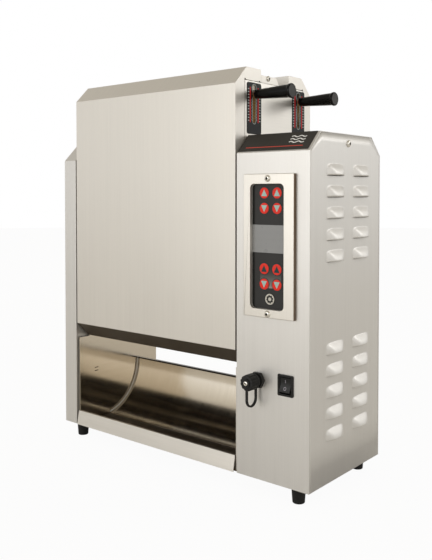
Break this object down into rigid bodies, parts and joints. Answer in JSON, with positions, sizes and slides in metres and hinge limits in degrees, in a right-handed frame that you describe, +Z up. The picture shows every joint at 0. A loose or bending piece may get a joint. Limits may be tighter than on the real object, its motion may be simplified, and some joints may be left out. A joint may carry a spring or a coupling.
{
  "type": "conveyor toaster",
  "caption": "Upright counter-top contact toaster with twin belt conveyors, a chute below and a keypad control box.",
  "frame": {"origin": "middle of the overall box, on the surface that the feet stand on", "axes": "+Z up, -Y towards the front with the keypad and the chute, +X to the control box side"},
  "size_m": [0.547, 0.2576, 0.65],
  "materials": {
    "left_housing": "vertical brushed grain",
    "control_box": "vertical brushed grain",
    "right_cover": "vertical brushed grain",
    "side_plates": "brushed",
    "platen": "cast, machined faces",
    "feed_divider": "brushed",
    "crumb_pan": "brushed",
    "bun_chute": "polished along its length",
    "keypad_bezel": "brushed",
    "keypad": "satin film",
    "display": "grey window",
    "board": "inner board",
    "badge": "satin",
    "switch": "moulded",
    "port": "moulded",
    "strap": "moulded",
    "gland": "moulded",
    "covers": "vertical brushed grain",
    "fasteners": "bright",
    "keys": "film",
    "ring_key": "film",
    "feet": "matt",
    "belts": "coated fabric",
    "rollers": "turned",
    "inner_steel": "plain",
    "grips": "moulded",
    "collars": "turned",
    "labels": "film",
    "motors": "grey"
  },
  "bodies": {
    "chassis": {"badge_plate": "badge", "base_frame": "inner_steel", "bezel_screws": "fasteners", "control_board": "board", "control_box": "control_box", "cord_gland": "gland", "cover_screw": "fasteners", "display_window": "display", "divider_screws": "fasteners", "feed_divider": "feed_divider", "foot_front_left": "feet", "foot_front_right": "feet", "foot_rear_left": "feet", "foot_rear_right": "feet", "front_drive_motor": "motors", "front_lever_label": "labels", "keypad_bezel": "keypad_bezel", "keypad_membrane": "keypad", "left_housing": "left_housing", "platen": "platen", "port_body": "port", "port_strap": "strap", "rear_drive_motor": "motors", "rear_lever_label": "labels", "right_cover": "right_cover", "rocker_frame": "switch", "side_plate_left": "side_plates", "side_plate_right": "side_plates", "strap_rivet": "fasteners"},
    "front_lever": {"front_lever_cam": "inner_steel", "front_lever_grip": "grips", "front_lever_collar": "collars"},
    "front_conveyor": {"front_conveyor_frame": "inner_steel", "front_belt": "belts"},
    "front_idler": {"front_idler_roller": "rollers"},
    "front_drive": {"front_drive_roller": "rollers"},
    "front_cover_panel": {"front_cover": "covers"},
    "rear_lever": {"rear_lever_cam": "inner_steel", "rear_lever_grip": "grips", "rear_lever_collar": "collars"},
    "rear_conveyor": {"rear_conveyor_frame": "inner_steel", "rear_belt": "belts"},
    "rear_idler": {"rear_idler_roller": "rollers"},
    "rear_drive": {"rear_drive_roller": "rollers"},
    "rear_cover_panel": {"rear_cover": "covers"},
    "pan": {"crumb_pan": "crumb_pan"},
    "chute": {"bun_chute": "bun_chute"},
    "rocker": {"rocker": "switch"},
    "cap": {"port_cap": "port"},
    "key_1": {"key_1": "keys"},
    "key_2": {"key_2": "keys"},
    "key_3": {"key_3": "keys"},
    "key_4": {"key_4": "keys"},
    "key_5": {"key_5": "keys"},
    "key_6": {"key_6": "keys"},
    "key_7": {"key_7": "keys"},
    "key_8": {"key_8": "keys"},
    "key_9": {"key_9": "ring_key"}
  },
  "joints": [
    {"name": "front_lever_slide", "type": "slide", "parent": "chassis", "child": "front_lever", "axis": [0, 0, 1], "range_m": [-0.042, 0.01]},
    {"name": "front_conveyor_tilt", "type": "hinge", "parent": "chassis", "child": "front_conveyor", "pos_m": [0, -0.03645, 0.235], "axis": [1, 0, 0], "range_deg": [-0.54, 2.23]},
    {"name": "front_drive_spin", "type": "hinge", "parent": "chassis", "child": "front_drive", "pos_m": [0, -0.03645, 0.235], "axis": [1, 0, 0], "continuous": true},
    {"name": "front_idler_spin", "type": "hinge", "parent": "front_conveyor", "child": "front_idler", "pos_m": [0, -0.03645, 0.583], "axis": [1, 0, 0], "continuous": true},
    {"name": "rear_lever_slide", "type": "slide", "parent": "chassis", "child": "rear_lever", "axis": [0, 0, 1], "range_m": [-0.042, 0.01]},
    {"name": "rear_conveyor_tilt", "type": "hinge", "parent": "chassis", "child": "rear_conveyor", "pos_m": [0, 0.06015, 0.235], "axis": [1, 0, 0], "range_deg": [-2.23, 0.54]},
    {"name": "rear_drive_spin", "type": "hinge", "parent": "chassis", "child": "rear_drive", "pos_m": [0, 0.06015, 0.235], "axis": [1, 0, 0], "continuous": true},
    {"name": "rear_idler_spin", "type": "hinge", "parent": "rear_conveyor", "child": "rear_idler", "pos_m": [0, 0.06015, 0.583], "axis": [1, 0, 0], "continuous": true},
    {"name": "front_cover_off", "type": "slide", "parent": "chassis", "child": "front_cover_panel", "axis": [0, -1, 0], "range_m": [0, 0.12]},
    {"name": "rear_cover_off", "type": "slide", "parent": "chassis", "child": "rear_cover_panel", "axis": [0, 1, 0], "range_m": [0, 0.12]},
    {"name": "pan_slide", "type": "slide", "parent": "chassis", "child": "pan", "axis": [0, -1, 0], "range_m": [0, 0.17]},
    {"name": "chute_lift", "type": "slide", "parent": "pan", "child": "chute", "axis": [0, 0, 1], "range_m": [0, 0.045]},
    {"name": "rocker_tilt", "type": "hinge", "parent": "chassis", "child": "rocker", "pos_m": [0.2274, -0.09315, 0.174], "axis": [1, 0, 0], "range_deg": [0, 18]},
    {"name": "cap_turn", "type": "hinge", "parent": "chassis", "child": "cap", "pos_m": [0.1776, -0.12565, 0.1748], "axis": [0, 1, 0], "range_deg": [0, 90]},
    {"name": "key_1_press", "type": "slide", "parent": "chassis", "child": "key_1", "axis": [0, 1, 0], "range_m": [0, 0.00025], "stiffness_N_per_m": 400},
    {"name": "key_2_press", "type": "slide", "parent": "chassis", "child": "key_2", "axis": [0, 1, 0], "range_m": [0, 0.00025], "stiffness_N_per_m": 400},
    {"name": "key_3_press", "type": "slide", "parent": "chassis", "child": "key_3", "axis": [0, 1, 0], "range_m": [0, 0.00025], "stiffness_N_per_m": 400},
    {"name": "key_4_press", "type": "slide", "parent": "chassis", "child": "key_4", "axis": [0, 1, 0], "range_m": [0, 0.00025], "stiffness_N_per_m": 400},
    {"name": "key_5_press", "type": "slide", "parent": "chassis", "child": "key_5", "axis": [0, 1, 0], "range_m": [0, 0.00025], "stiffness_N_per_m": 400},
    {"name": "key_6_press", "type": "slide", "parent": "chassis", "child": "key_6", "axis": [0, 1, 0], "range_m": [0, 0.00025], "stiffness_N_per_m": 400},
    {"name": "key_7_press", "type": "slide", "parent": "chassis", "child": "key_7", "axis": [0, 1, 0], "range_m": [0, 0.00025], "stiffness_N_per_m": 400},
    {"name": "key_8_press", "type": "slide", "parent": "chassis", "child": "key_8", "axis": [0, 1, 0], "range_m": [0, 0.00025], "stiffness_N_per_m": 400},
    {"name": "key_9_press", "type": "slide", "parent": "chassis", "child": "key_9", "axis": [0, 1, 0], "range_m": [0, 0.00025], "stiffness_N_per_m": 400}
  ],
  "couplings": [
    {"joint": "front_conveyor_tilt", "follows": "front_lever_slide", "rad_per_m": -0.92308},
    {"joint": "front_idler_spin", "follows": "front_drive_spin", "ratio": 1},
    {"joint": "rear_conveyor_tilt", "follows": "rear_lever_slide", "rad_per_m": 0.92308},
    {"joint": "rear_idler_spin", "follows": "rear_drive_spin", "ratio": 1}
  ]
}
